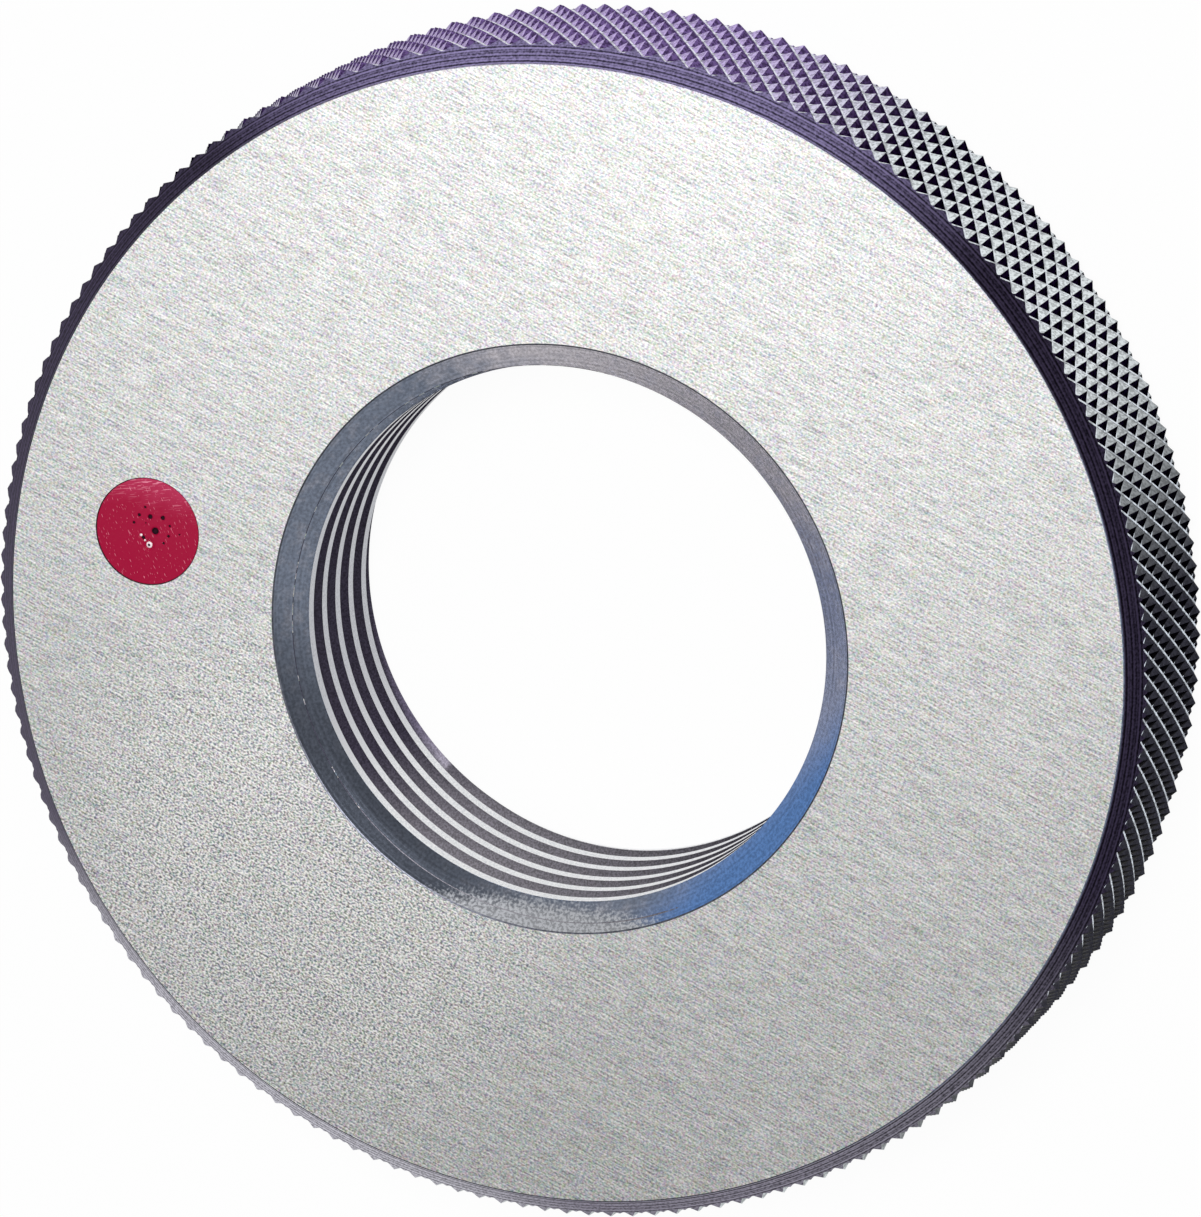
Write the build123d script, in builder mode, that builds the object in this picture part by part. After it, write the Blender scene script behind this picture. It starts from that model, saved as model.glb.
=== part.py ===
from build123d import *
import os
from math import ceil, cos, radians, sin, tan

# Thread ring gauge: one hardened and ground steel ring with a truncated internal thread of the
# M30 x 2 form, lead-in chamfers, bevelled edges and a diamond-knurled rim, and a drop of red
# lacquer in a spot-faced recess. Origin at the centre of the back face, +Z along the thread's
# axis towards the marked face. Lengths in millimetres, angles in degrees.

# Blank
thickness = 12.0            # between the two ground faces
rim_diameter = 62.4         # over the tips of the knurl
rim_bevel_width = 1.2       # radial width of the bevel round each face, out to those tips
rim_bevel_depth = 1.2       # axial depth of the same bevel

# Diamond knurl: two families of slanted V grooves that leave four-sided pyramids
knurl_count = 96            # grooves of each family round the rim
knurl_pitch = 3.4           # axial distance between grooves of one family
knurl_depth = 0.37          # from the pyramids' tips to the grooves' crossings
knurl_start = 0.65          # height of a row of crossings over the back face
knurl_turn = 0.24           # angle of a crossing in that row, from the +X axis

# Screw thread, a helical V groove cut into a plain bore
crest_diameter = 28.2       # the bore, which the thread's flat crests leave
thread_pitch = 2.0
crest_flat = 0.77           # axial width of a crest, wide because the thread is truncated
flank_angle = 30.0          # of each flank, from a plane across the axis
thread_start = 0.51         # height of a groove's middle over the back face, on the +X axis

# Lead-in chamfers at the mouths of the bore
lead_in_width = 1.45        # at the marked face: radial, outwards from the crests
lead_in_depth = 1.0         # at the marked face: axial
back_lead_in_width = 1.09
back_lead_in_depth = 0.75

# Colour marker
marker_diameter = 5.7
marker_recess_depth = 0.5
marker_angle = 90.0         # round the face, from the +X axis
lacquer_edge = 0.38         # depth of lacquer at the wall of the recess
lacquer_middle = 0.45       # and in the middle, where it stands slightly domed

rim_radius = rim_diameter / 2
face_radius = rim_radius - rim_bevel_width
crest_radius = crest_diameter / 2
mouth_radius = crest_radius + lead_in_width
back_mouth_radius = crest_radius + back_lead_in_width

# The marker sits midway between the rim's bevel and the mouth of the bore.
marker_radius = marker_diameter / 2
marker_circle_radius = (face_radius + mouth_radius) / 2
marker_x = marker_circle_radius * cos(radians(marker_angle))
marker_y = marker_circle_radius * sin(radians(marker_angle))
dome_rise = lacquer_middle - lacquer_edge
dome_radius = (marker_radius**2 + dome_rise**2) / (2 * dome_rise)

# The thread's groove is drawn a little way into the open bore, so that the cut starts in clear
# air.
groove_clearance = 0.1 * thread_pitch
flank_slope = tan(radians(flank_angle))
groove_depth = (thread_pitch - crest_flat) / 2 / flank_slope
groove_half_width = (groove_depth + groove_clearance) * flank_slope

# The blank is turned larger than the knurl, with the same bevels carried on outwards, so that
# the knurl alone shapes the rim.
blank_radius = rim_radius + knurl_depth
blank_bevel_depth = (blank_radius - face_radius) * rim_bevel_depth / rim_bevel_width


# A corner of the knurl's pyramids. Columns are half a groove apart round the rim and rows half
# a pitch along it. Grooves cross where column plus row is even, and tips stand where it is odd.
def knurl_corner(column, row):
    angle = radians(knurl_turn + column % (2 * knurl_count) * 180 / knurl_count)
    radius = rim_radius - knurl_depth if (column + row) % 2 == 0 else rim_radius
    return Vector(radius * cos(angle), radius * sin(angle), knurl_start + row * knurl_pitch / 2)


# The solid inside the knurl: flat flanks, two to each square of four corners, split along the
# groove that crosses the square, and a flat cap at each end, clear of the blank.
def knurl_core():
    columns = range(2 * knurl_count)
    first_row = -ceil(2 * knurl_start / knurl_pitch) - 1
    last_row = ceil(2 * (thickness - knurl_start) / knurl_pitch) + 1
    flanks = []
    for row in range(first_row, last_row):
        for column in columns:
            near, right = knurl_corner(column, row), knurl_corner(column + 1, row)
            above, far = knurl_corner(column, row + 1), knurl_corner(column + 1, row + 1)
            if (column + row) % 2 == 0:
                flanks += [(near, right, far), (near, far, above)]
            else:
                flanks += [(near, right, above), (right, far, above)]
    caps = [[knurl_corner(column, row) for column in columns] for row in (first_row, last_row)]
    skin = [Face(Wire.make_polygon(corners, close=True)) for corners in flanks + caps]
    return Solid(Shell(skin))


# One turn of the thread's groove, its middle at the given height on the +X axis.
def groove_turn(height):
    with BuildPart() as turn:
        with BuildLine():
            lead = Helix(thread_pitch, thread_pitch, crest_radius, center=(0, 0, height))
        with BuildSketch(Plane((crest_radius, 0, height), x_dir=(1, 0, 0), z_dir=(0, -1, 0))):
            with BuildLine():
                Polyline(
                    (-groove_clearance, -groove_half_width),
                    (groove_depth, 0),
                    (-groove_clearance, groove_half_width),
                    close=True,
                )
            make_face()
        sweep(path=lead, is_frenet=True)
    return turn.part


# Ring body: the turned section, trimmed to the knurl, then the thread turn by turn past both
# faces, then the recess.
with BuildPart() as ring_body:
    with BuildSketch(Plane.XZ):
        with BuildLine():
            Polyline(
                (crest_radius, back_lead_in_depth),
                (back_mouth_radius, 0),
                (face_radius, 0),
                (blank_radius, blank_bevel_depth),
                (blank_radius, thickness - blank_bevel_depth),
                (face_radius, thickness),
                (mouth_radius, thickness),
                (crest_radius, thickness - lead_in_depth),
                close=True,
            )
        make_face()
    revolve(axis=Axis.Z)
    add(knurl_core(), mode=Mode.INTERSECT)
    turn_height = thread_start - 2 * thread_pitch
    while turn_height < thickness + thread_pitch:
        add(groove_turn(turn_height), mode=Mode.SUBTRACT)
        turn_height += thread_pitch
    with Locations((marker_x, marker_y, thickness)):
        Hole(marker_radius, depth=marker_recess_depth)
ring_body.part.label = "ring_body"

# Red marker: lacquer that fills the recess nearly to the face.
recess_floor = (marker_x, marker_y, thickness - marker_recess_depth)
with BuildPart() as red_marker:
    with BuildSketch(Plane(recess_floor, x_dir=(1, 0, 0), z_dir=(0, -1, 0))):
        with BuildLine():
            Polyline((0, lacquer_middle), (0, 0), (marker_radius, 0), (marker_radius, lacquer_edge))
            RadiusArc((0, lacquer_middle), (marker_radius, lacquer_edge), dome_radius)
        make_face()
    revolve(axis=Axis(recess_floor, (0, 0, 1)))
red_marker.part.label = "red_marker"

os.makedirs("parts", exist_ok=True)
for piece in (ring_body.part, red_marker.part):
    print(piece.label, "volume", round(piece.volume, 1), "mm3")
export_step(ring_body.part, "parts/ring_body.step")
export_step(red_marker.part, "parts/red_marker.step")
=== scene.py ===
# %% [markdown]
# A thread ring gauge is one hardened steel ring that checks the outside thread of a bolt. This
# lesson dresses its plain CAD model: the ring gets its diamond knurl, worn edges, grinding lines
# and heat colours, and the recess on its face gets a drop of red lacquer.
# The CAD model comes in first as a fixed frame. Everything else is measured from it, so nothing
# has to be moved into place by eye.

import bpy
import numpy as np
from mathutils import Matrix, Vector
from mathutils.geometry import delaunay_2d_cdt


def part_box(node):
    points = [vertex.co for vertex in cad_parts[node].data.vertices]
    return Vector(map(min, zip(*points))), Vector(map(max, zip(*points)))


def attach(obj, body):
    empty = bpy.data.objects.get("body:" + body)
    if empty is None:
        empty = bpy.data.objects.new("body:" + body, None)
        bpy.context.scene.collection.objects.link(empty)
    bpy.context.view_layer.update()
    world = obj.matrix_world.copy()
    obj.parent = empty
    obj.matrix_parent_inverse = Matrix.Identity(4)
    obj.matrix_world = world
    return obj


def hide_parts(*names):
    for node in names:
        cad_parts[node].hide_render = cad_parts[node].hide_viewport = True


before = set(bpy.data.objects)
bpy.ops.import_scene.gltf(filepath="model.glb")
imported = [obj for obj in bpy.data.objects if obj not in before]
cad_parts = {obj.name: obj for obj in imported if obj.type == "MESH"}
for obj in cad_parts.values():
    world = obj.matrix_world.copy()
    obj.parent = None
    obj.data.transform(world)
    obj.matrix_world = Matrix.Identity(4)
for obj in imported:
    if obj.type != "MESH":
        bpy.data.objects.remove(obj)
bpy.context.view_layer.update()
ring_low, ring_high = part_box("ring_body")
marker_low, marker_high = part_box("red_marker")
mm = 0.001
print("ring box in mm", [round(x / mm, 3) for x in (*ring_low, *ring_high)])

# %% [markdown]
# The ring's own sizes are worked out in millimetres. Those that the box shows are read from it.
# The section inside the box, such as the bevels and the thread's form, is written here once.

# %% Sizes of the ring, in millimetres
thickness = round((ring_high.z - ring_low.z) / mm, 3)
rim_radius = round((ring_high.x - ring_low.x) / 2 / mm, 2)
rim_bevel_width = 1.2
rim_bevel_depth = 1.2
face_radius = rim_radius - rim_bevel_width
crest_radius = 14.1
crest_flat = 0.77
thread_pitch = 2.0
thread_start = 0.51
flank_slope = np.tan(np.radians(30))
lead_in_slope = 1.45
lead_in_depth = 1.0
back_lead_in_depth = 0.75
marker_radius = round((marker_high.x - marker_low.x) / 2 / mm, 3)
marker_x = round((marker_high.x + marker_low.x) / 2 / mm, 3)
marker_y = round((marker_high.y + marker_low.y) / 2 / mm, 3)
lacquer_floor = round(marker_low.z / mm, 3)
lacquer_top = thickness - 0.015
lacquer_edge = thickness - 0.05
full_turn = 2 * np.pi
print("face radius", face_radius, "crest radius", crest_radius, "marker at", round(marker_y, 3))

# %% [markdown]
# One mesh carries all of the ring's finishes. So each triangle gets a label, the number of its
# finish, and the list of materials further down keeps the same order.

# %% Labels for the ring's finishes
FACE, BEVEL, LEAD_IN, CREST, FLANK, RECESS = range(6)
KNURL_GROOVE, KNURL_LEADING, KNURL_TRAILING, KNURL_UNDER, EDGE = range(6, 11)
print("finishes on the ring", EDGE + 1)

# %% [markdown]
# Both walls of the ring are patterns that a cone cuts off: the bevel trims the knurl, and the
# lead-in chamfer trims the thread. A patch of such a wall is kept here as three arrays: its
# points in flat coordinates, its triangles as point numbers, and a label for each triangle.
# Cutting the triangles exactly along the line where two surfaces meet gives crisp edges, which a
# grid that only follows the larger of two heights doesn't.

# %% Cut a patch of triangles along a line
nearly = 2e-4

def cut(points, triangles, labels, value):
    """Splits triangles where value, one number for each point, changes sign.

    A crossed edge from a to b gets a new point at the share value_a / (value_a - value_b) of its
    length. A triangle crossed on two edges becomes three, and one crossed on one edge two.
    A point that is nearly on the line counts as on it, so that no sliver is cut off.
    Returns the points, triangles and labels, and the value at each point, zero on the line.
    """
    value = np.where(np.abs(value) < nearly, 0.0, value)
    sign = np.sign(value)[triangles]
    crossed = (sign.min(1) < 0) & (sign.max(1) > 0)
    kept, kept_labels = triangles[~crossed], labels[~crossed]
    split, split_labels, sign = triangles[crossed], labels[crossed], sign[crossed]
    # Each split triangle is turned until the point that is alone on its side, or the one on the
    # line, comes first.
    touches = (sign == 0).any(1)
    alone = np.where(touches[:, None], sign == 0, sign == -np.sign(sign.sum(1))[:, None])
    order = (np.argmax(alone, 1)[:, None] + np.arange(3)) % 3
    split = np.take_along_axis(split, order, 1)
    a, b, c = split.T
    one, two = touches, ~touches
    ends = np.concatenate([np.stack([b[one], c[one]], 1), np.stack([a[two], b[two]], 1),
                           np.stack([a[two], c[two]], 1)])
    ends.sort(axis=1)
    edges, back = np.unique(ends, axis=0, return_inverse=True)
    back = back.ravel() + len(points)
    first, second = value[edges[:, 0]], value[edges[:, 1]]
    share = (first / (first - second))[:, None]
    added = points[edges[:, 0]] * (1 - share) + points[edges[:, 1]] * share
    m = back[:one.sum()]
    p = back[one.sum():one.sum() + two.sum()]
    q = back[one.sum() + two.sum():]
    pieces = [kept, np.stack([a[one], b[one], m], 1), np.stack([a[one], m, c[one]], 1),
              np.stack([a[two], p, q], 1), np.stack([p, b[two], c[two]], 1),
              np.stack([p, c[two], q], 1)]
    triangles = np.concatenate(pieces)
    labels = np.concatenate([kept_labels, *[split_labels[one]] * 2, *[split_labels[two]] * 3])
    points = np.concatenate([points, added])
    value = np.concatenate([value, np.zeros(len(added))])
    return points, triangles, labels, value

def keep_below(points, triangles, labels, value):
    """Cuts a patch along value = 0 and keeps what lies where value is below zero."""
    points, triangles, labels, value = cut(points, triangles, labels, value)
    below = value[triangles].sum(1) < 0
    return points, triangles[below], labels[below]

one_triangle = np.eye(3), np.array([[0, 1, 2]]), np.array([FACE])
print("a triangle cut across gives", len(cut(*one_triangle, np.array([-1.0, 1.0, 1.0]))[1]))

# %% [markdown]
# The knurl is rolled in with two wheels, so it is two families of slanted grooves that cross.
# Between them stand small four-sided pyramids, about 160 round the rim. The grooves have narrow,
# shallow bottoms, because the teeth of a knurling wheel are blunt.
# In the flat coordinates a and b, which count the grooves of each family, a pyramid is a unit
# square. A few lines across the square, at the groove and at the tip, are all that it needs.

# %% One pyramid of the knurl
count_a, count_b = 162, 161
phase_a, phase_b = 0.49, 0.37
knurl_pitch = 2.029
knurl_depth = 0.37
groove_share = 0.06
groove_rise = 0.05

def knurl_cell():
    """One pyramid as a grid of small squares, each split along the slope's own crease.

    Its lines lie at the groove's middle, its shoulders and the tip: 0, g, 1/2 and 1 - g of a
    cell, and the height over the bottom is the lower of the two families' heights.
    """
    lines = np.array([0, groove_share, 0.5, 1 - groove_share, 1])
    size = len(lines)
    b, a = np.meshgrid(lines, lines)
    corner = np.arange(size * size).reshape(size, size)
    p00, p10, p01, p11 = corner[:-1, :-1], corner[1:, :-1], corner[:-1, 1:], corner[1:, 1:]
    middle_a = (a[:-1, :-1] + a[1:, 1:]) / 2
    middle_b = (b[:-1, :-1] + b[1:, 1:]) / 2
    rising = (middle_a < 0.5) == (middle_b < 0.5)
    one = np.where(rising[..., None], np.stack([p00, p11, p10], -1), np.stack([p00, p01, p10], -1))
    two = np.where(rising[..., None], np.stack([p00, p01, p11], -1), np.stack([p10, p01, p11], -1))
    triangles = np.concatenate([one.reshape(-1, 3), two.reshape(-1, 3)])
    return np.stack([a.ravel(), b.ravel()], 1), triangles

def groove_height(distance):
    """Height over the groove's bottom, from 0 to 1, at a distance from its middle in cells."""
    return np.interp(distance, [0, groove_share, 0.5], [0, groove_rise, 1])

print("triangles on one pyramid", len(knurl_cell()[1]))

# %% [markdown]
# Copies of that square tile the rim. The two families have 162 and 161 grooves, so their crossings
# drift a little round the rim, as they do where two wheels weren't set quite alike.

# %% Pyramids over the whole rim
def knurl_patch():
    """Pyramids over the whole rim, as points (angle, height, radius) and labelled triangles.

    a = count a * angle / (2 pi) + z / p - phase a and b = count b * angle / (2 pi) - z / p -
    phase b, so the angle comes from the sum of a and b, and z from a and the angle.
    """
    cell, cell_triangles = knurl_cell()
    both = count_a + count_b
    rows = np.arange(-1, int(thickness / knurl_pitch) + 3)
    column, row = np.meshgrid(np.arange(both), rows)
    column, row = column.ravel(), row.ravel()
    first_a = row + column * count_a // both
    a = first_a[:, None] + cell[None, :, 0]
    b = (column - first_a)[:, None] + cell[None, :, 1]
    height = np.minimum(groove_height(0.5 - np.abs(cell[:, 0] - 0.5)),
                        groove_height(0.5 - np.abs(cell[:, 1] - 0.5)))
    angle = (a + phase_a + b + phase_b) / both * full_turn
    z = (a + phase_a - count_a * angle / full_turn) * knurl_pitch
    radius = rim_radius - knurl_depth * (1 - np.broadcast_to(height, a.shape))
    points = np.stack([angle.ravel(), z.ravel(), radius.ravel()], 1)
    offset = (np.arange(len(first_a)) * len(cell))[:, None, None]
    triangles = (cell_triangles[None] + offset).reshape(-1, 3)
    # A triangle belongs to the family whose groove it faces, and to a side of that groove.
    middle = cell[cell_triangles].mean(1) - 0.5
    near_a = np.abs(middle[:, 0]) > np.abs(middle[:, 1])
    bottom = np.abs(middle).max(1) > 0.5 - groove_share
    side = np.where(near_a, np.where(middle[:, 0] > 0, KNURL_LEADING, KNURL_UNDER),
                    np.where(middle[:, 1] > 0, KNURL_UNDER, KNURL_TRAILING))
    labels = np.tile(np.where(bottom, KNURL_GROOVE, side), len(first_a))
    return points, triangles, labels

knurl = knurl_patch()
print("knurl triangles before its cuts", len(knurl[1]))

# %% [markdown]
# The bevels are cones. Where the cone lies inside the knurl, the wall is the bevel, so its edge
# runs in and out of the pyramids as it does on a turned and then knurled blank.
# A sliver of each flat edge is left out here, because a small round goes in its place.

# %% Trim the knurl with the two bevels
edge_round = 0.035
steps_of_angle = 300000

def bevel_radius(z):
    """Radius of the bevel's cone: face radius plus width / depth times the way down from a face."""
    return face_radius + rim_bevel_width / rim_bevel_depth * np.minimum(z, thickness - z)

def settle(points):
    """Puts points that are nearly on a wall's upper or lower edge exactly on it.

    Along that edge they keep to whole steps of angle, so that no two lie nearly together.
    """
    step = full_turn / steps_of_angle
    for level in (edge_round, thickness - edge_round):
        near = np.abs(points[:, 1] - level) < 2 * nearly
        points[near, 0] = np.round(points[near, 0] / step) * step
        points[near, 1] = level
    return points

def trim_knurl(points, triangles, labels):
    for from_face in (lambda z: z, lambda z: thickness - z):
        cone = face_radius + rim_bevel_width / rim_bevel_depth * from_face(points[:, 1])
        points, triangles, labels, _ = cut(points, triangles, labels, points[:, 2] - cone)
    for beyond in (lambda z: z - thickness + edge_round, lambda z: edge_round - z):
        points, triangles, labels = keep_below(points, triangles, labels, beyond(points[:, 1]))
    points = settle(points)
    beyond = points[:, 2] - bevel_radius(points[:, 1])
    labels = np.where(beyond[triangles].mean(1) > 0, BEVEL, labels)
    points[:, 2] = np.minimum(points[:, 2], bevel_radius(points[:, 1]))
    return points, triangles, labels

outer_wall = trim_knurl(*knurl)
print("outer wall triangles", len(outer_wall[1]))

# %% [markdown]
# The thread is one helical groove. Its profile is a V, and wide flat crests are left between the
# turns. Rows of points that climb with the groove, one pitch a turn, follow its edges exactly,
# which level rows wouldn't.

# %% The threaded wall
thread_columns = 288
root_flat = 0.1
broken_corner = 0.03

def thread_profile():
    """Half the groove's section: (distance from its middle, radius), from the root to the crest.

    radius = root - distance / tan 30 degrees on the flank. The root is flattened and the crest's
    corner broken by a short step.
    """
    shoulder = (thread_pitch - crest_flat) / 2
    root_radius = crest_radius + shoulder / flank_slope
    return np.array([(root_flat / 2, root_radius - root_flat / 2 / flank_slope),
                     (shoulder - broken_corner * flank_slope, crest_radius + broken_corner),
                     (shoulder + broken_corner, crest_radius)])

def thread_patch():
    """Rows of the profile, each at z = start + distance + pitch (turn + angle / full turn)."""
    half = thread_profile()
    across = np.concatenate([-half[::-1, 0], half[:, 0]])
    radii = np.concatenate([half[::-1, 1], half[:, 1]])
    turns = np.arange(-2, int(thickness / thread_pitch) + 2)
    rows = (turns[:, None] * thread_pitch + across[None]).ravel()
    radii = np.tile(radii, len(turns))
    angle = np.linspace(0, full_turn, thread_columns + 1)
    z = thread_start + rows[:, None] + thread_pitch * angle[None] / full_turn
    angle, radius = np.broadcast_arrays(angle[None], radii[:, None])
    points = np.stack([angle.ravel(), z.ravel(), radius.ravel()], 1)
    number = np.arange(z.size).reshape(z.shape)
    a, b, c, d = number[:-1, :-1], number[:-1, 1:], number[1:, 1:], number[1:, :-1]
    triangles = np.concatenate([np.stack([a, c, b], -1).reshape(-1, 3),
                                np.stack([a, d, c], -1).reshape(-1, 3)])
    middle = (radii[:-1] + radii[1:]) / 2
    kind = np.where(middle > crest_radius + 1e-9, FLANK, CREST)
    labels = np.tile(np.repeat(kind, thread_columns), 2)
    return points, triangles, labels

thread = thread_patch()
print("thread triangles before its cuts", len(thread[1]))

# %% [markdown]
# The lead-in chamfers cut the thread's ends away. Where the first groove runs out through the
# chamfer, its lower flank lies open and has the chamfer's finish. A thin ridge is left above it.
# Beside it a thin band of the chamfer takes the flanks' dark finish, as a line of painted shadow,
# with a few bright specks where bolts have rubbed it.

# %% Trim the thread with the two lead-ins
painted_shadow_width = 0.07
ridge_end = 0.42

def worn_specks(column):
    """True on a few of the ridge's columns, scattered by the sine of the column squared."""
    return (np.sin(column**2) > 0.75) & (column < ridge_end * thread_columns)

def lead_in_radius(z):
    """Radius of the lead-ins' cones: crest radius plus slope times the way into their depth."""
    into = np.maximum(z - thickness + lead_in_depth, back_lead_in_depth - z)
    return crest_radius + lead_in_slope * into

def trim_thread(points, triangles, labels):
    for into in (lambda z: z - thickness + lead_in_depth, lambda z: back_lead_in_depth - z):
        cone = crest_radius + lead_in_slope * into(points[:, 1])
        points, triangles, labels, _ = cut(points, triangles, labels, cone - points[:, 2])
    cone = lead_in_radius(points[:, 1])
    points, triangles, labels, _ = cut(points, triangles, labels, cone - points[:, 2] - painted_shadow_width)
    for beyond in (lambda z: z - thickness + edge_round, lambda z: edge_round - z):
        points, triangles, labels = keep_below(points, triangles, labels, beyond(points[:, 1]))
    points = settle(points)
    beyond = (lead_in_radius(points[:, 1]) - points[:, 2])[triangles].mean(1)
    # The turn is a whole number in the middle of each groove. The highest groove is the first that
    # a bolt meets.
    angle, z, _ = points[triangles].mean(1).T
    turn = (z - thread_start) / thread_pitch - angle / full_turn
    first = np.round(turn) > (thickness - 2 * lead_in_depth - thread_start) / thread_pitch
    upper = turn > np.round(turn)
    column = np.floor(angle / full_turn * thread_columns)
    # Painted shadow: a thin band of the chamfer along the first groove's upper flank takes the flanks'
    # dark finish.
    ridge = (labels == FLANK) & first & upper & (beyond < painted_shadow_width)
    ridge_label = np.where(worn_specks(column), FACE, FLANK)
    labels = np.where((labels == FLANK) & first & ~upper, LEAD_IN, labels)
    labels = np.where(beyond > 0, np.where(ridge, ridge_label, LEAD_IN), labels)
    points[:, 2] = np.maximum(points[:, 2], lead_in_radius(points[:, 1]))
    return points, triangles, labels

inner_wall = trim_thread(*thread)
print("inner wall triangles", len(inner_wall[1]))

# %% [markdown]
# Between a wall and a flat face runs a small round, because no ground edge is perfectly sharp.
# The round is a band with the wall's own angles, so it meets the wall point by point.

# %% Bands round the axis
def edge_angles(points, triangles, z):
    """The angles at which a wall's points lie on the level z, sorted, each once."""
    used = np.unique(triangles)
    level = np.abs(points[used, 1] - z) < 1e-7
    angle = np.sort(points[used][level][:, 0] % full_turn)
    new = np.append(True, np.diff(angle) > 1e-7)
    angle = angle[new]
    return angle[:-1] if full_turn - angle[-1] < 1e-7 else angle

def strip(angle, profile, upward, label):
    """A band round the axis: the same angles at each (radius, z) of a profile, in its order."""
    count = len(angle)
    points = np.concatenate([np.stack([angle, np.full(count, z), np.full(count, r)], 1)
                             for r, z in profile])
    row, column = np.meshgrid(np.arange(len(profile) - 1), np.arange(count), indexing="ij")
    a = (row * count + column).ravel()
    b = (row * count + (column + 1) % count).ravel()
    c, d = b + count, a + count
    triangles = np.concatenate([np.stack([a, b, c], 1), np.stack([a, c, d], 1)])
    if not upward:
        triangles = triangles[:, ::-1]
    return points, triangles, np.full(len(triangles), label)

def round_profile(wall_radius, corner_radius, z, z_side, outward):
    """From the wall's edge to the face's edge in two straight steps of a small round."""
    side = -1 if outward else 1
    corner = (corner_radius + side * edge_round * 0.1, z - z_side * edge_round * 0.22)
    return [(wall_radius, z - z_side * edge_round), corner,
            (corner_radius + side * edge_round, z)]

def circle(angle, radius, x=0.0, y=0.0):
    return np.stack([x + radius * np.cos(angle), y + radius * np.sin(angle)], 1)

def to_xyz(points):
    """Cylindrical (angle, z, radius) to (radius cos angle, radius sin angle, z)."""
    return np.stack([points[:, 2] * np.cos(points[:, 0]), points[:, 2] * np.sin(points[:, 0]),
                     points[:, 1]], 1)

print("points on the rim's top edge", len(edge_angles(*outer_wall[:2], thickness - edge_round)))

# %% [markdown]
# The faces are flat, so any triangles do. A Delaunay triangulation joins the outer loop, the
# inner loop and the loop of the marker's recess, whatever their points are.

# %% A flat face with holes
def flat_face(loops, z, upward, label):
    """A flat ring between loops of points (x, y). The first is its outer edge, the rest holes.

    A triangle that fills part of a hole has its three corners on that loop, and meets them in the
    loop's own order.
    """
    flat = np.concatenate(loops)
    loop_of = np.repeat(np.arange(len(loops)), [len(loop) for loop in loops])
    first = np.cumsum([0] + [len(loop) for loop in loops[:-1]])
    following = np.concatenate([np.roll(np.arange(len(loop)), -1) + start
                                for loop, start in zip(loops, first)])
    edges = list(enumerate(following.tolist()))
    made = delaunay_2d_cdt([Vector(p) for p in flat], edges, [], 1, 1e-7)
    given = np.array([origin[0] for origin in made[3]])
    points, triangles = flat[given], np.array(made[2])
    corners = given[triangles]
    on = loop_of[corners]
    in_order = (corners < np.roll(corners, -1, 1)).sum(1) == 2
    in_hole = (on.min(1) == on.max(1)) & (on[:, 0] > 0) & in_order
    triangles = triangles[~in_hole]
    if not upward:
        triangles = triangles[:, ::-1]
    full = np.column_stack([points, np.full(len(points), z)])
    return full, triangles, np.full(len(triangles), label)

twelve, six = (np.linspace(0, full_turn, count, endpoint=False) for count in (12, 6))
washer = flat_face([circle(twelve, 2.0), circle(six, 1.0)], 0, True, FACE)
print("a face between 12 outer and 6 inner points has", len(washer[1]), "triangles")

# %% [markdown]
# The ring's whole skin is then nine patches: two walls, two rounds and a face at each end, and
# the recess. The recess is a band too, round the marker's own axis instead of the ring's.

# %% All patches of the ring
recess_spokes = 96

def recess(angle):
    """The recess: a small round, its wall and its floor, round the marker's own axis."""
    profile = [(marker_radius + edge_round / 2, thickness),
               (marker_radius, thickness - edge_round / 2),
               (marker_radius, lacquer_floor), (0, lacquer_floor)]
    points, triangles, labels = strip(angle, profile, True, RECESS)
    points = to_xyz(points) + np.array([marker_x, marker_y, 0])
    return points, triangles, labels

def ring_patches():
    """All patches of the ring's skin, each in xyz."""
    patches = [(to_xyz(outer_wall[0]), *outer_wall[1:]), (to_xyz(inner_wall[0]), *inner_wall[1:])]
    recess_angle = np.linspace(0, full_turn, recess_spokes, endpoint=False)
    for z, z_side in ((thickness, 1), (0.0, -1)):
        level = z - z_side * edge_round
        outer = edge_angles(*outer_wall[:2], level)
        inner = edge_angles(*inner_wall[:2], level)
        outer_round = round_profile(bevel_radius(level), face_radius, z, z_side, True)
        inner_round = round_profile(lead_in_radius(level), lead_in_radius(z), z, z_side, False)
        for angle, profile, upward in ((outer, outer_round, z_side > 0),
                                       (inner, inner_round, z_side < 0)):
            points, triangles, labels = strip(angle, profile, upward, EDGE)
            patches.append((to_xyz(points), triangles, labels))
        loops = [circle(outer, outer_round[-1][0]), circle(inner, inner_round[-1][0])]
        if z_side > 0:
            loops.append(circle(recess_angle, marker_radius + edge_round / 2, marker_x, marker_y))
        patches.append(flat_face(loops, z, z_side > 0, FACE))
    patches.append(recess(recess_angle))
    return patches

patches = ring_patches()
print("patches", [len(p[1]) for p in patches])

# %% [markdown]
# The patches share the points along their edges. Joining points that lie in the same place turns
# them into one closed skin. A closed skin has each edge in exactly two triangles, once in each
# direction, and that is worth a test, because a gap or a face turned inside out is hard to see.

# %% Join the patches into one closed mesh
def join(patches):
    """Stacks patches, and merges points closer than a ten-thousandth of a millimetre."""
    offsets = np.cumsum([0] + [len(p[0]) for p in patches[:-1]])
    points = np.concatenate([p[0] for p in patches])
    triangles = np.concatenate([p[1] + o for p, o in zip(patches, offsets)])
    labels = np.concatenate([p[2] for p in patches])
    _, first, back = np.unique(np.round(points, 4), axis=0, return_index=True, return_inverse=True)
    triangles = back.ravel()[triangles]
    a, b, c = triangles.T
    real = (a != b) & (b != c) & (c != a)
    used, triangles = np.unique(triangles[real], return_inverse=True)
    return points[first][used], triangles.reshape(-1, 3), labels[real]

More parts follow.
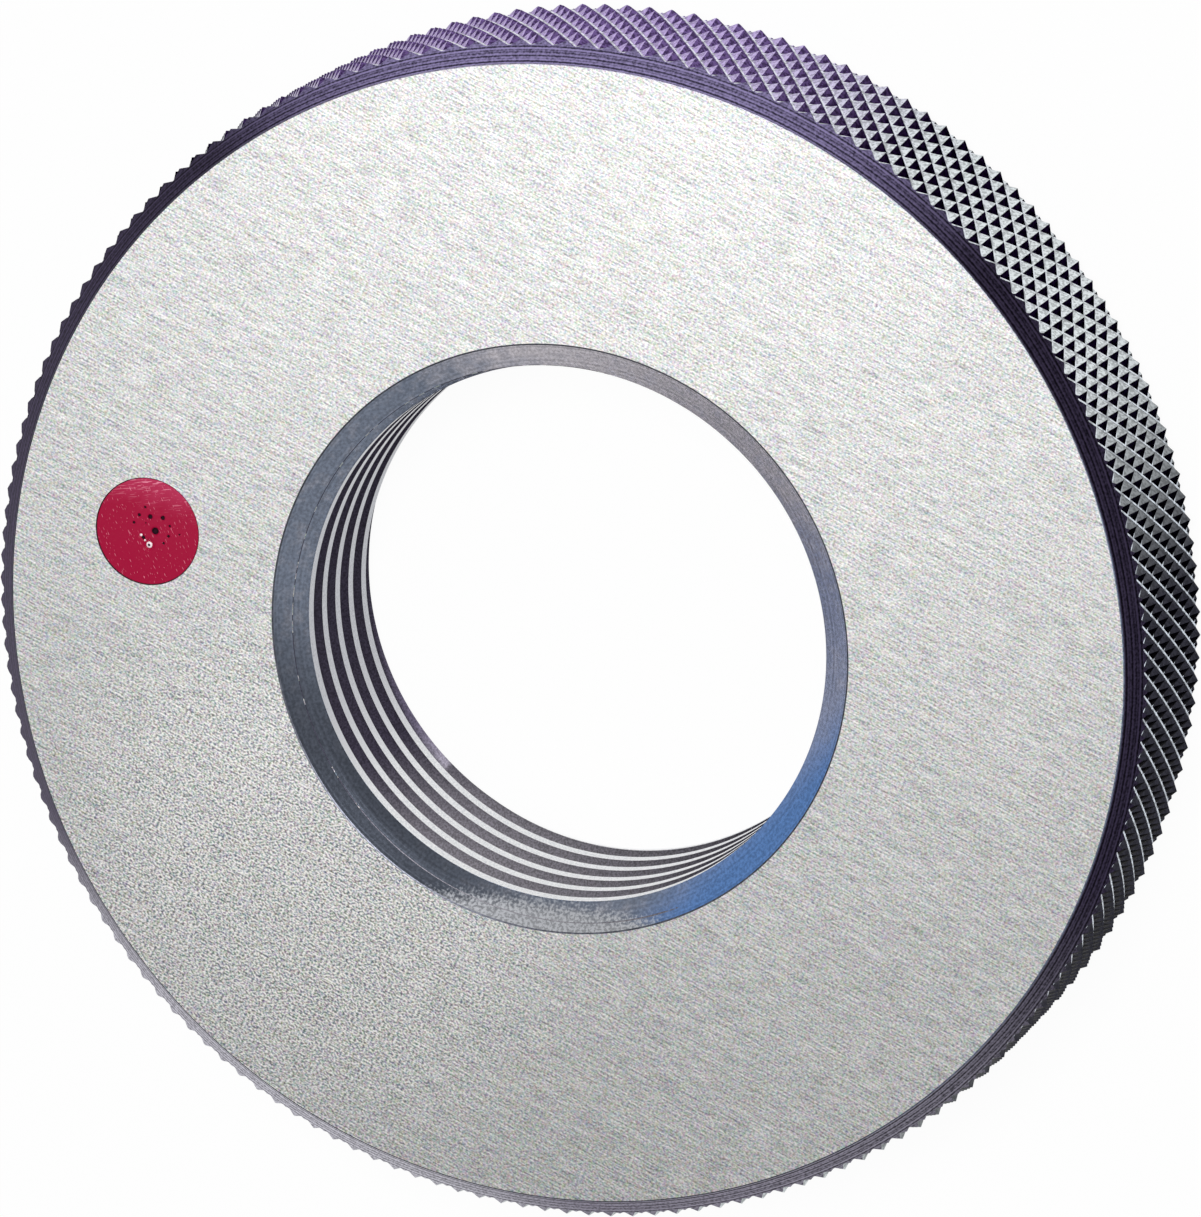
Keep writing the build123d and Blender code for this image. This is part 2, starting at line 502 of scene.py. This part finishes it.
def is_closed(triangles):
    """True if each directed edge is there once, and so is the same edge the other way."""
    edges = np.concatenate([triangles[:, [0, 1]], triangles[:, [1, 2]], triangles[:, [2, 0]]])
    code = edges[:, 0] * (triangles.max() + 1) + edges[:, 1]
    other = edges[:, 1] * (triangles.max() + 1) + edges[:, 0]
    return len(np.unique(code)) == len(code) and bool(np.isin(code, other).all())

def volume(points, triangles):
    """Sum of the signed volumes of the tetrahedra from the origin to each triangle."""
    a, b, c = (points[triangles[:, i]] for i in range(3))
    return float(np.einsum("ij,ij->i", a, np.cross(b, c)).sum() / 6)

ring_points, ring_triangles, ring_labels = join(patches)
print("ring triangles", len(ring_triangles), "closed", is_closed(ring_triangles),
      "volume in mm3", round(volume(ring_points, ring_triangles), 1))

# %% [markdown]
# In Blender a mesh is shaded smooth, but edges that turn by more than 30 degrees stay crisp. A
# label may be kept flat altogether: the faces and their small rounds are, because the rounds'
# tilted normals would otherwise bend the light on the long triangles beside them.

# %% Put a mesh into Blender
sharp_angle = np.radians(30)

def mesh_object(name, points, triangles, labels, materials, flat=()):
    mesh = bpy.data.meshes.new(name)
    mesh.from_pydata(points * mm, [], triangles)
    mesh.update()
    for material in materials:
        mesh.materials.append(material)
    mesh.polygons.foreach_set("material_index", labels.astype(np.int32))
    mesh.shade_smooth()
    mesh.set_sharp_from_angle(angle=sharp_angle)
    mesh.polygons.foreach_set("use_smooth", ~np.isin(labels, flat))
    thing = bpy.data.objects.new(name, mesh)
    bpy.context.scene.collection.objects.link(thing)
    return thing

print("edges stay crisp above", round(np.degrees(sharp_angle)), "degrees")

# %% [markdown]
# The lacquer was dropped into the recess and left to level, so it stands as a very low dome.
# Bubbles that burst while it dried left pinholes: real dents in the mesh. Three bubbles that
# didn't burst are glossy beads, each in a ring-shaped dip.

# %% The drop of lacquer, as a height over the recess
lacquer_radius = marker_radius - 0.035
dome_rise = lacquer_top - lacquer_edge
pinholes = [(0.11, -0.40, 0.36), (0.80, -0.01, 0.24), (0.91, -0.70, 0.22), (0.75, 0.59, 0.16),
            (1.24, 0.34, 0.13), (0.28, 0.81, 0.14), (0.58, -1.15, 0.13), (0.03, -1.17, 0.15),
            (-0.41, -0.97, 0.13), (0.26, -1.74, 0.10), (-0.39, 0.17, 0.19), (0.42, 0.16, 0.07)]
beads = [(-0.69, -0.21, 0.40), (-0.28, 0.31, 0.18), (-0.51, 0.06, 0.13)]

def lacquer_points(rings, spokes):
    """A dome on a polar grid: z = top - rise (r / R)^2, with its pinholes and beads.

    A pinhole of width w takes away w / 2 times exp(-q^4), where q is the distance from its middle
    over w / 2. A bead takes away a ring, w / 5 times exp(-8 (q - 1.1)^2), and adds a low bump.
    """
    share = np.linspace(0, 1, rings + 1)[1:]
    angle = np.linspace(0, full_turn, spokes, endpoint=False)
    radius = lacquer_radius * share[:, None]
    x, y = radius * np.cos(angle), radius * np.sin(angle)
    x, y = np.append(0, x.ravel()), np.append(0, y.ravel())
    z = lacquer_top - dome_rise * (x**2 + y**2) / marker_radius**2
    for hole_x, hole_y, width in pinholes:
        away = np.hypot(x - hole_x, y - hole_y) / (width / 2)
        z = z - 0.5 * width * np.exp(-away**4)
    for bead_x, bead_y, width in beads:
        away = np.hypot(x - bead_x, y - bead_y) / (width / 2)
        z = z - width * (0.2 * np.exp(-(away - 1.1)**2 * 8) - 0.03 * np.exp(-away**2 * 2))
    return np.stack([x + marker_x, y + marker_y, z], 1)

print("lacquer from", lacquer_floor, "to", lacquer_top, "mm, pinholes", len(pinholes))

# %% [markdown]
# The dome gets a wall and a bottom, so the drop is a closed body. Pinholes and beads get labels
# of their own: the pinholes are painted dark, as painted shade in the dents, and the beads pale and
# glossy, as painted highlights. The largest bead has painted shade in its middle.

# %% The drop of lacquer, as a closed mesh
LACQUER, PINHOLE_PAINTED_SHADE, BEAD_PAINTED_HIGHLIGHT = range(3)

def lacquer_labels(middle):
    """A label for each triangle's middle, by its distance from each spot over half its width."""
    labels = np.full(len(middle), LACQUER)
    on_top = middle[:, 2] > lacquer_floor + 0.01
    for spots, label, reach in ((pinholes, PINHOLE_PAINTED_SHADE, 1.0), (beads, BEAD_PAINTED_HIGHLIGHT, 0.85),
                                (beads[:1], PINHOLE_PAINTED_SHADE, 0.35)):
        for spot_x, spot_y, width in spots:
            away = np.hypot(middle[:, 0] - marker_x - spot_x, middle[:, 1] - marker_y - spot_y)
            labels[(away < reach * width / 2) & on_top] = label
    return labels

def lacquer_mesh(rings=110, spokes=300):
    top = lacquer_points(rings, spokes)
    wall = top[-spokes:].copy()
    wall[:, 2] = lacquer_floor
    points = np.concatenate([top, wall, [[marker_x, marker_y, lacquer_floor]]])
    spoke = np.arange(spokes)
    after = (spoke + 1) % spokes
    fan = np.stack([np.zeros(spokes, int), 1 + spoke, 1 + after], 1)
    ring = 1 + np.arange(rings)[:, None] * spokes
    a, b = (ring + spoke).ravel(), (ring + spokes + spoke).ravel()
    c, d = (ring + spokes + after).ravel(), (ring + after).ravel()
    last = len(points) - 1
    bottom = np.stack([np.full(spokes, last), last - spokes + after, last - spokes + spoke], 1)
    triangles = np.concatenate([fan, np.stack([a, b, c], 1), np.stack([a, c, d], 1), bottom])
    return points, triangles, lacquer_labels(points[triangles].mean(1))

lacquer = lacquer_mesh()
print("lacquer triangles", len(lacquer[1]), "closed", is_closed(lacquer[1]),
      "volume in mm3", round(volume(*lacquer[:2]), 2))

# %% [markdown]
# Materials are written as sums. A Tone wraps one socket, and each operation on it adds a Math
# node, so 1 - mask reads as it would on paper.

# %% Numbers that vary over a surface
class Tone:
    """A number that varies over a surface. Sums and products on it become Math nodes."""

    def __init__(self, finish, socket):
        self.finish, self.socket = finish, socket

    def math(self, operation, *values):
        return self.finish.node("ShaderNodeMath", {"operation": operation}, dict(enumerate(values)))

    def __add__(self, other):
        return self.math("ADD", self, other)

    def __sub__(self, other):
        return self.math("SUBTRACT", self, other)

    def __rsub__(self, other):
        return self.math("SUBTRACT", other, self)

    def __mul__(self, other):
        return self.math("MULTIPLY", self, other)

    __radd__, __rmul__ = __add__, __mul__

print("2 * tone means the same as tone * 2:", Tone.__rmul__ is Tone.__mul__)

# %% [markdown]
# Every other node comes from one method, Finish.node. The rest of the class names what a steel
# finish is made of: noise that is stretched along a direction, rings left by a turning tool, a
# soft step from one colour to another, and a tone that grows towards one side of the ring.

# %% The nodes of a finish
class Finish:
    """The nodes of a material, or of the world."""

    def __init__(self, name, kind=bpy.data.materials):
        self.owner = kind.new(name)
        self.owner.use_nodes = True
        self.tree = self.owner.node_tree
        self.tree.nodes.clear()

    def node(self, kind, settings=None, sockets=None, output=0):
        """Adds a node: its settings first, then a value or a link for each socket named."""
        made = self.tree.nodes.new(kind)
        for name, value in (settings or {}).items():
            setattr(made, name, value)
        for name, value in (sockets or {}).items():
            if isinstance(value, Tone):
                self.tree.links.new(value.socket, made.inputs[name])
            else:
                made.inputs[name].default_value = value
        return Tone(self, made.outputs[output]) if len(made.outputs) else made

    def place(self, scale=(1, 1, 1), turn=0.0):
        """Object coordinates in millimetres, turned about the axis and stretched."""
        here = self.node("ShaderNodeTexCoord", output="Object")
        return self.node("ShaderNodeMapping", {"vector_type": "TEXTURE"},
                         {"Vector": here, "Rotation": (0, 0, turn), "Scale": [mm * s for s in scale]})

    def vector(self, operation, *values, output=0):
        return self.node("ShaderNodeVectorMath", {"operation": operation}, dict(enumerate(values)),
                         output)

    def toward(self, azimuth, radius):
        """Cosine of the angle round the axis from a direction: x cos + y sin, over a radius."""
        angle = np.radians(azimuth)
        way = (np.cos(angle) / radius, np.sin(angle) / radius, 0)
        return self.vector("DOT_PRODUCT", self.place(), way, output=1)

    def noise(self, scale=(1, 1, 1), turn=0.0, detail=2.0):
        """Noise from 0 to 1, about one grain to each scale millimetres."""
        return self.node("ShaderNodeTexNoise", {"noise_dimensions": "3D"},
                         {"Vector": self.place(scale, turn), "Scale": 1.0, "Detail": detail,
                          "Roughness": 0.5})

    def turned_lines(self, width):
        """Noise that changes only with the distance from the axis, as a turning tool leaves it."""
        flat = self.vector("MULTIPLY", self.place(), (1, 1, 0))
        distance = self.vector("LENGTH", flat, output=1) * (1 / width)
        return self.node("ShaderNodeTexNoise", {"noise_dimensions": "1D"},
                         {"W": distance, "Scale": 1.0, "Detail": 0.5})

    def tint(self, scale):
        """A colour that changes from grain to grain, around middle grey."""
        return self.node("ShaderNodeTexNoise", {}, {"Vector": self.place((scale,) * 3),
                                                    "Scale": 1.0, "Detail": 1.0}, output=1)

    def remap(self, tone, low, high, to_low=0.0, to_high=1.0):
        """Takes low..high to to_low..to_high along a soft curve, and holds it there."""
        return self.node("ShaderNodeMapRange", {"clamp": True, "interpolation_type": "SMOOTHSTEP"},
                         {"Value": tone, "From Min": low, "From Max": high, "To Min": to_low,
                          "To Max": to_high})

    def mix(self, share, first, second, way="MIX"):
        """A colour between two colours."""
        ends = [c if isinstance(c, Tone) else (*c, 1.0) for c in (first, second)]
        return self.node("ShaderNodeMix", {"data_type": "RGBA", "blend_type": way},
                         {0: share, 6: ends[0], 7: ends[1]}, 2)

    def bump(self, height, distance):
        return self.node("ShaderNodeBump", {}, {"Height": height, "Distance": distance * mm,
                                                "Strength": 1.0})

    def surface(self, **sockets):
        """The finished Principled surface, from sockets named as in base_color."""
        named = {name.replace("_", " ").title().replace("Ior", "IOR"): value
                 for name, value in sockets.items()}
        shader = self.node("ShaderNodeBsdfPrincipled", {}, named)
        self.node("ShaderNodeOutputMaterial", {}, {"Surface": shader})
        print("finish:", self.owner.name, "with", len(self.tree.nodes), "nodes")
        return self.owner

black = (0.0, 0.0, 0.0)
relief_height = 0.004
print("bumps are", relief_height, "mm high")

# %% [markdown]
# The faces were ground across, all in one direction. The wheel left short parallel scratches over
# a fine grain of bright and dark points. The steel's tone drifts slowly over the face: it is painted
# lighter towards one side and darker across from it, as painted light and shade. The grain is
# coarser on one rough patch, where the wheel was dull.

# %% Ground faces
grinding_turn = np.radians(76.5)
rough_centre = (-16.4, 11.5, thickness)

def ground_face():
    finish = Finish("ground face")
    scratch = finish.noise((1.4, 0.09, 1.0), grinding_turn)
    band = finish.noise((9.0, 0.5, 1.0), grinding_turn)
    grain = finish.noise((0.14, 0.10, 0.1), grinding_turn, 1.0)
    # Painted light and shade: the tone is painted lighter towards -8 degrees and darker away from it.
    painted_light_drift = 0.5 + 0.08 * finish.toward(-8, 30)
    away = finish.vector("DISTANCE", finish.place(), rough_centre, output=1)
    rough = finish.remap(away, 5, 19, 1.0, 0.0)
    speck = (grain - 0.5) * (1.6 + 2.6 * rough)
    share = painted_light_drift + 0.12 * rough + speck + 1.3 * (scratch - 0.5) + 0.3 * (band - 0.5)
    steel = finish.mix(finish.remap(share, -0.5, 1.5), (0.13, 0.155, 0.17), (1.0, 0.98, 0.955))
    steel = finish.mix(0.45, steel, finish.tint(0.13), "OVERLAY")
    return finish.surface(base_color=steel, metallic=1.0, roughness=0.3,
                          normal=finish.bump(scratch + grain, relief_height))

face_finish = ground_face()

# %% [markdown]
# The bevel was turned before hardening and kept its thin oxide: nearly black with a violet cast.
# On one side it is painted pale grey, as a painted reflection. Fine rings from the tool still show.

# %% Tempered bevel
bevel_middle = face_radius + rim_bevel_width / 2 - 0.1

def tempered_bevel():
    finish = Finish("tempered bevel")
    lines = finish.turned_lines(0.08)
    grain = finish.noise((0.14, 0.14, 0.14), detail=1.0)
    violet = finish.remap(finish.toward(6, bevel_middle), 0.72, 1.0)
    # Painted reflection: towards 158 and 205 degrees the bevel is painted pale grey.
    bare_and_painted_reflection = finish.remap(finish.toward(158, bevel_middle), 0.80, 0.99)
    grey = finish.remap(finish.toward(205, bevel_middle), 0.55, 1.0)
    oxide = finish.mix(violet, (0.066, 0.052, 0.102), (0.52, 0.44, 0.82))
    oxide = finish.mix(grey, oxide, (0.36, 0.34, 0.42))
    oxide = finish.mix(bare_and_painted_reflection, oxide, (0.84, 0.84, 0.90))
    share = 0.5 + 1.4 * (lines - 0.5) + 1.1 * (grain - 0.5)
    oxide = finish.mix(finish.remap(share, 0.0, 1.0, 0.9, 0.0), oxide, black)
    return finish.surface(base_color=oxide, metallic=1.0, roughness=0.3,
                          specular_tint=(0.85, 0.82, 0.9, 1.0),
                          normal=finish.bump(lines + grain, relief_height))

bevel_finish = tempered_bevel()

# %% [markdown]
# The lead-ins are slate where the bevel is violet. Their oxide runs through the temper colours round
# the bore: pale lavender, dark slate and a bare patch that was touched by the wheel. Towards one side
# they are blue.

# %% Tempered lead-ins
lead_in_middle = crest_radius + 0.9

def tempered_lead_in():
    finish = Finish("tempered lead-in")
    lines = finish.turned_lines(0.12)
    grain = finish.noise((0.15, 0.15, 0.15))
    mottle = finish.noise((0.7, 0.7, 0.7), detail=3.0)
    lavender = finish.remap(finish.toward(-12, lead_in_middle), 0.55, 0.95)
    light = finish.remap(finish.toward(-60, lead_in_middle), -0.1, 0.7)
    dark = finish.remap(finish.toward(143, lead_in_middle), 0.6, 1.0)
    blue = finish.remap(finish.toward(238, lead_in_middle), 0.80, 0.99)
    ragged = finish.toward(188, lead_in_middle) + 0.10 * (grain - 0.5)
    bare_and_painted_reflection = finish.remap(ragged, 0.93, 0.99)
    oxide = finish.mix(light, (0.32, 0.37, 0.48), (0.52, 0.58, 0.82))
    oxide = finish.mix(lavender + 1.1 * (mottle - 0.5), oxide, (0.98, 0.93, 1.0))
    oxide = finish.mix(dark, oxide, (0.11, 0.125, 0.16))
    oxide = finish.mix(blue, oxide, (0.20, 0.41, 0.90))
    oxide = finish.mix(bare_and_painted_reflection, oxide, (0.74, 0.76, 0.81))
    share = 0.5 + 0.4 * (lines - 0.5) + (1.2 + 2.0 * bare_and_painted_reflection) * (grain - 0.5)
    oxide = finish.mix(finish.remap(share, 0.2, 0.8, 0.38, 0.0), oxide, black)
    return finish.surface(base_color=oxide, metallic=1.0, roughness=0.24,
                          normal=finish.bump(lines + grain, relief_height))

lead_in_finish = tempered_lead_in()

# %% [markdown]
# In the bore, the crests were ground bright and are only dull on one side. The flanks kept their
# dark oxide, which is worn to a grainy violet-grey on another.

# %% Thread
def ground_crest():
    finish = Finish("ground crest")
    grain = finish.noise((0.10, 0.10, 0.10))
    dull = finish.remap(finish.toward(98, crest_radius), 0.66, 1.0, 0.0, 0.62)
    steel = finish.mix(finish.remap(grain, 0.25, 0.75), (0.70, 0.72, 0.75), (1.0, 1.0, 1.0))
    steel = finish.mix(dull + 2.4 * dull * (grain - 0.5), steel, (0.34, 0.35, 0.40))
    return finish.surface(base_color=steel, metallic=1.0, roughness=0.32,
                          normal=finish.bump(grain, relief_height))

def tempered_flank():
    finish = Finish("tempered flank")
    grain = finish.noise((0.10, 0.10, 0.10))
    worn = finish.remap(finish.toward(182, crest_radius + 0.5), 0.65, 1.0)
    oxide = finish.mix(worn, (0.075, 0.065, 0.10), (0.36, 0.34, 0.385))
    oxide = finish.mix(finish.remap(grain, 0.3, 0.7, 0.5, 0.0), oxide, black)
    return finish.surface(base_color=oxide, metallic=1.0, roughness=0.4)

crest_finish, flank_finish = ground_crest(), tempered_flank()

# %% [markdown]
# Each side of a knurl's pyramid has its own tone, painted as light and shade. The leading flanks
# are painted bright and mottled as the lit side, the trailing and under flanks are painted dark with
# a violet cast as the shaded side, and the grooves' bottoms are burnished and painted near white for
# the highlights along them. The temper colour has turned one side of the rim violet, and on another
# side the flanks are painted dark, as painted shade. The rim light is how bright a flank gets at a
# grazing angle.

# %% Knurl
def knurl_steel(name, plain, violet, painted_shade_side_colour, mottling, grain=0.17, roughness=0.35, rim_light=0.35):
    finish = Finish(name)
    mottle = finish.noise((grain,) * 3)
    warm = finish.remap(finish.toward(14, rim_radius - 0.2), 0.78, 0.99)
    # Painted shade: towards -97 degrees the flanks are painted dark.
    painted_shade_side = finish.remap(finish.toward(-97, rim_radius - 0.2), 0.64, 0.93)
    steel = finish.mix(painted_shade_side, finish.mix(warm, plain, violet), painted_shade_side_colour)
    steel = finish.mix(finish.remap(mottle, 0.40, 0.58, mottling, 0.0), steel, black)
    return finish.surface(base_color=steel, metallic=1.0, roughness=roughness,
                          specular_tint=(rim_light, rim_light, rim_light, 1.0))

# Painted light and shade: the leading flanks are painted bright as the lit side, the trailing and
# under flanks dark as the shaded side, and the grooves near white as painted highlights.
knurl_finishes = [
    knurl_steel("burnished groove with painted highlight", plain=(0.90, 0.95, 1.0), violet=(0.90, 0.92, 1.0),
                painted_shade_side_colour=(0.82, 0.90, 1.0), mottling=0.5, grain=0.40, roughness=0.3, rim_light=1.0),
    knurl_steel("leading flank", plain=(0.92, 0.98, 1.0), violet=(0.72, 0.56, 1.0),
                painted_shade_side_colour=(0.035, 0.035, 0.05), mottling=0.40, rim_light=0.65),
    knurl_steel("trailing flank", plain=(0.012, 0.006, 0.022), violet=(0.20, 0.13, 0.34),
                painted_shade_side_colour=(0.010, 0.008, 0.016), mottling=0.6),
    knurl_steel("under flank", plain=(0.08, 0.06, 0.12), violet=(0.40, 0.30, 0.60),
                painted_shade_side_colour=(0.02, 0.02, 0.03), mottling=0.5),
    knurl_steel("broken edge", plain=(0.11, 0.115, 0.14), violet=(0.40, 0.37, 0.50),
                painted_shade_side_colour=(0.20, 0.24, 0.34), mottling=0.4)]

# %% [markdown]
# Now the ring's mesh and its finishes come together, in the order of the labels. Only the rim of
# the recess shows round the lacquer, so a plain dark finish will do there.

# %% The ring, dressed
recess_finish = Finish("recess").surface(base_color=(0.05, 0.01, 0.02, 1.0), roughness=0.6)
ring = mesh_object("thread_ring", ring_points, ring_triangles, ring_labels,
                   [face_finish, bevel_finish, lead_in_finish, crest_finish, flank_finish,
                    recess_finish, *knurl_finishes], flat=(FACE, EDGE))
print("triangles of each finish", np.bincount(ring_labels).tolist())

# %% [markdown]
# The lacquer is a deep crimson gloss. It is painted paler towards one side, as a painted sheen, and
# has been scuffed there. Small curls and flecks of light red are scattered over it.

# %% Lacquer
scuff_turn, curl_turn = 1.9, 0.6

def crimson():
    finish = Finish("red lacquer")
    cloud = finish.noise((0.8, 0.8, 0.8))
    across = finish.vector("DOT_PRODUCT", finish.place(), (1.0, 0, 0), output=1)
    # Painted sheen: the lacquer is painted paler towards +x.
    painted_sheen = finish.remap(across + 1.2 * (cloud - 0.5), 0.9, 3.2)
    scuff = finish.remap(finish.noise((0.75, 0.08, 0.5), scuff_turn), 0.58, 0.64)
    curl = finish.remap(finish.noise((0.35, 0.06, 0.5), curl_turn, 1.0), 0.68, 0.72)
    fleck = finish.remap(finish.noise((0.09, 0.09, 0.09), detail=0.0), 0.83, 0.87)
    red = finish.mix(painted_sheen, (0.36, 0.004, 0.040), (0.50, 0.035, 0.105))
    red = finish.mix(0.9 * painted_sheen * scuff + 0.6 * curl + 0.5 * fleck, red, (0.88, 0.30, 0.42))
    return finish.surface(base_color=red, roughness=0.25, specular_ior_level=0.12)

# Painted shade in the pinholes, and painted highlights on the beads.
pinhole_painted_shade = Finish("pinhole").surface(base_color=(0.02, 0.004, 0.01, 1.0), roughness=0.7,
                                           specular_ior_level=0.1)
bead_painted_highlight = Finish("bead").surface(base_color=(0.95, 0.80, 0.84, 1.0), roughness=0.2)
drop = mesh_object("lacquer_drop", *lacquer, [crimson(), pinhole_painted_shade, bead_painted_highlight])

# %% [markdown]
# Both pieces ride on the part's only body. Each stands in for a plain solid of the CAD model, which
# is hidden, and what it is made of is printed beside it.

# %% Hand the pieces over to the frame
for piece, node, slot in ((ring, "ring_body", "ground_steel"), (drop, "red_marker", "red_lacquer")):
    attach(piece, "root")
    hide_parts(node)
    print(piece.name, "replaces", node, "in", slot)

# %% [markdown]
# The ring stands on white paper. A white ground could come from strong lamps, but they would wash
# out the steel. Here the ground itself is white light where the camera sees it, and a dimmer white
# where the steel mirrors it. It still takes the ring's shadow, as plain matt paper does.

# %% The floor
def white_where_seen(finish, own, white, seen, mirrored):
    """Mixes white light over a finish's own shader: seen * camera + mirrored * (gloss or glass)."""
    camera_ray, glossy_ray, through_ray = (
        finish.node("ShaderNodeLightPath", output="Is " + kind + " Ray")
        for kind in ("Camera", "Glossy", "Transmission"))
    share = camera_ray * seen + glossy_ray * mirrored + through_ray * mirrored
    return finish.node("ShaderNodeMixShader", {}, {0: share, 1: own, 2: white})

def floor_object(half_width=3.0, below=-1e-5):
    corners = [(x * half_width, y * half_width, below)
               for x, y in ((-1, -1), (1, -1), (1, 1), (-1, 1))]
    mesh = bpy.data.meshes.new("floor")
    mesh.from_pydata(corners, [], [(0, 1, 2, 3)])
    paper = Finish("white paper")
    matt = paper.node("ShaderNodeBsdfDiffuse", {}, {"Color": (0.8, 0.8, 0.8, 1)})
    white = paper.node("ShaderNodeEmission", {}, {"Color": (1, 1, 1, 1), "Strength": 1.0})
    mixed = white_where_seen(paper, matt, white, 0.96, 0.45)
    paper.node("ShaderNodeOutputMaterial", {}, {"Surface": mixed})
    mesh.materials.append(paper.owner)
    thing = bpy.data.objects.new("floor", mesh)
    bpy.context.scene.collection.objects.link(thing)
    return thing

floor = floor_object()
print("floor", [round(x, 2) for x in floor.dimensions], "m")

# %% [markdown]
# The room round the ring works the same way: dim for what it sheds on the ring, white where the
# camera sees it, and in between where the steel mirrors it.

# %% The world
def white_room():
    room = Finish("white room", bpy.data.worlds)
    dim, plain = (room.node("ShaderNodeBackground", {}, {"Color": (1, 1, 1, 1), "Strength": strength})
                  for strength in (0.15, 1.0))
    mixed = white_where_seen(room, dim, plain, 1.0, 0.45)
    room.node("ShaderNodeOutputWorld", {}, {"Surface": mixed})
    return room.owner

bpy.context.scene.world = white_room()
print("world", bpy.context.scene.world.name)

# %% [markdown]
# Two soft lamps are enough. The key lamp is high and lights the whole ring. The softbox is near
# and weak: the ground face mirrors it on one side only, so the steel's tone falls off across it.

# %% Lamps
def lamp(name, azimuth, elevation, distance, width, height, power):
    """A soft lamp that looks at the ring from a direction in degrees."""
    light = bpy.data.lights.new(name, "AREA")
    light.shape, light.size, light.size_y, light.energy = "RECTANGLE", width, height, power
    thing = bpy.data.objects.new(name, light)
    bpy.context.scene.collection.objects.link(thing)
    a, e = np.radians(azimuth), np.radians(elevation)
    place = Vector((np.cos(a) * np.cos(e), np.sin(a) * np.cos(e), np.sin(e))) * distance
    thing.matrix_world = Matrix.Translation(place) @ place.to_track_quat("Z", "Y").to_matrix().to_4x4()
    print(name, "at", [round(x, 2) for x in place], "m with", power, "W")

lamp("key lamp", azimuth=-20, elevation=72, distance=0.6, width=0.2, height=0.2, power=2.8)
lamp("softbox", azimuth=87, elevation=73.6, distance=0.308, width=0.2, height=0.12, power=0.09)

# %% [markdown]
# The camera looks down on the face from one side, through a long lens. It is turned about its own
# axis, so that the ring seems to stand on its rim.

# %% Camera
camera_place = Vector((135.75, -115.74, 422.1)) * mm
camera_aim = Vector((2.31, -1.97, 12.0)) * mm
camera_roll = np.radians(-126.97)
lens_length = 258.35

def camera(place, aim, roll, lens):
    """A camera at a place, looking at a point, then turned about its own axis."""
    data = bpy.data.cameras.new("camera")
    data.lens, data.sensor_width, data.sensor_fit = lens, 36.0, "AUTO"
    data.clip_start, data.clip_end = 0.01, 20
    thing = bpy.data.objects.new("camera", data)
    bpy.context.scene.collection.objects.link(thing)
    look = (aim - place).to_track_quat("-Z", "Y").to_matrix() @ Matrix.Rotation(roll, 3, "Z")
    thing.matrix_world = Matrix.Translation(place) @ look.to_4x4()
    return thing

bpy.context.scene.camera = camera(camera_place, camera_aim, camera_roll, lens_length)
bpy.context.scene.view_settings.view_transform = "Standard"
print("camera", round((camera_place - camera_aim).length, 3), "m from the ring")
